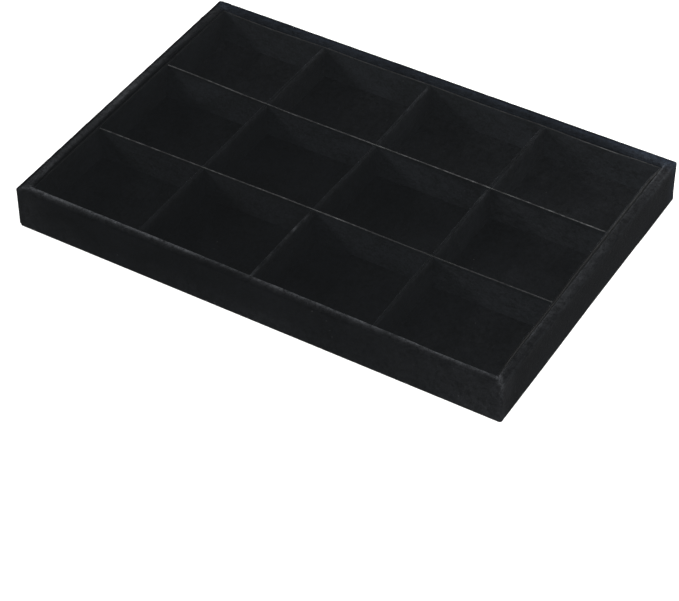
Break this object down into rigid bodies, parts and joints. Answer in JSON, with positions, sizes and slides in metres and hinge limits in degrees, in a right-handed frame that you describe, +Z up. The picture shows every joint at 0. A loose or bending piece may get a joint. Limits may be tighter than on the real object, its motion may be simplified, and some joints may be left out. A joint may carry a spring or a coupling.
{
  "type": "jewelry display tray",
  "caption": "Shallow open display tray in black velvet, with a lift-out grid of half-lapped dividers that make separate compartments for jewelry.",
  "frame": {"origin": "centre of the underside, on the surface that the tray stands on", "axes": "+X along the long side, to the right seen from the front; -Y is the front long side; +Z up, out of the open top"},
  "size_m": [0.35, 0.24, 0.03],
  "materials": {
    "wrap_velvet": "black velvet, short dense pile",
    "floor_velvet": "black velvet, short dense pile",
    "liner_velvet": "black velvet facing on card",
    "long_divider_velvet": "black velvet facing on card",
    "short_divider_velvet": "black velvet folded over the top edge",
    "card": "black card, matt, cut edges",
    "base_paper": "black cover paper, fine leather grain",
    "board": "black-dyed fibreboard, sawn, uncoated",
    "staple_steel": "galvanised wire",
    "brad_steel": "bright steel"
  },
  "bodies": {
    "case": {"bottom_board": "board", "front_wall_board": "board", "back_wall_board": "board", "left_wall_board": "board", "right_wall_board": "board", "velvet_wrap": "wrap_velvet", "base_paper": "base_paper", "floor_velvet": "floor_velvet", "front_liner_card": "card", "front_liner_velvet": "liner_velvet", "back_liner_card": "card", "back_liner_velvet": "liner_velvet", "left_liner_card": "card", "left_liner_velvet": "liner_velvet", "right_liner_card": "card", "right_liner_velvet": "liner_velvet", "base_staples": "staple_steel", "corner_brads": "brad_steel"},
    "short_divider_left": {"short_divider_left_card": "card", "short_divider_left_velvet": "short_divider_velvet"},
    "short_divider_middle": {"short_divider_middle_card": "card", "short_divider_middle_velvet": "short_divider_velvet"},
    "short_divider_right": {"short_divider_right_card": "card", "short_divider_right_velvet": "short_divider_velvet"},
    "long_divider_front": {"long_divider_front_card": "card", "long_divider_front_velvet": "long_divider_velvet"},
    "long_divider_back": {"long_divider_back_card": "card", "long_divider_back_velvet": "long_divider_velvet"}
  },
  "joints": [
    {"name": "grid_lift", "type": "slide", "parent": "case", "child": "short_divider_middle", "axis": [0, 0, 1], "range_m": [0, 0.032]},
    {"name": "grid_lift_left", "type": "slide", "parent": "case", "child": "short_divider_left", "axis": [0, 0, 1], "range_m": [0, 0.032]},
    {"name": "grid_lift_right", "type": "slide", "parent": "case", "child": "short_divider_right", "axis": [0, 0, 1], "range_m": [0, 0.032]},
    {"name": "long_front_lift_off", "type": "slide", "parent": "short_divider_middle", "child": "long_divider_front", "axis": [0, 0, 1], "range_m": [0, 0.032]},
    {"name": "long_back_lift_off", "type": "slide", "parent": "short_divider_middle", "child": "long_divider_back", "axis": [0, 0, 1], "range_m": [0, 0.032]}
  ],
  "couplings": [
    {"joint": "grid_lift_left", "follows": "grid_lift", "ratio": 1},
    {"joint": "grid_lift_right", "follows": "grid_lift", "ratio": 1}
  ]
}
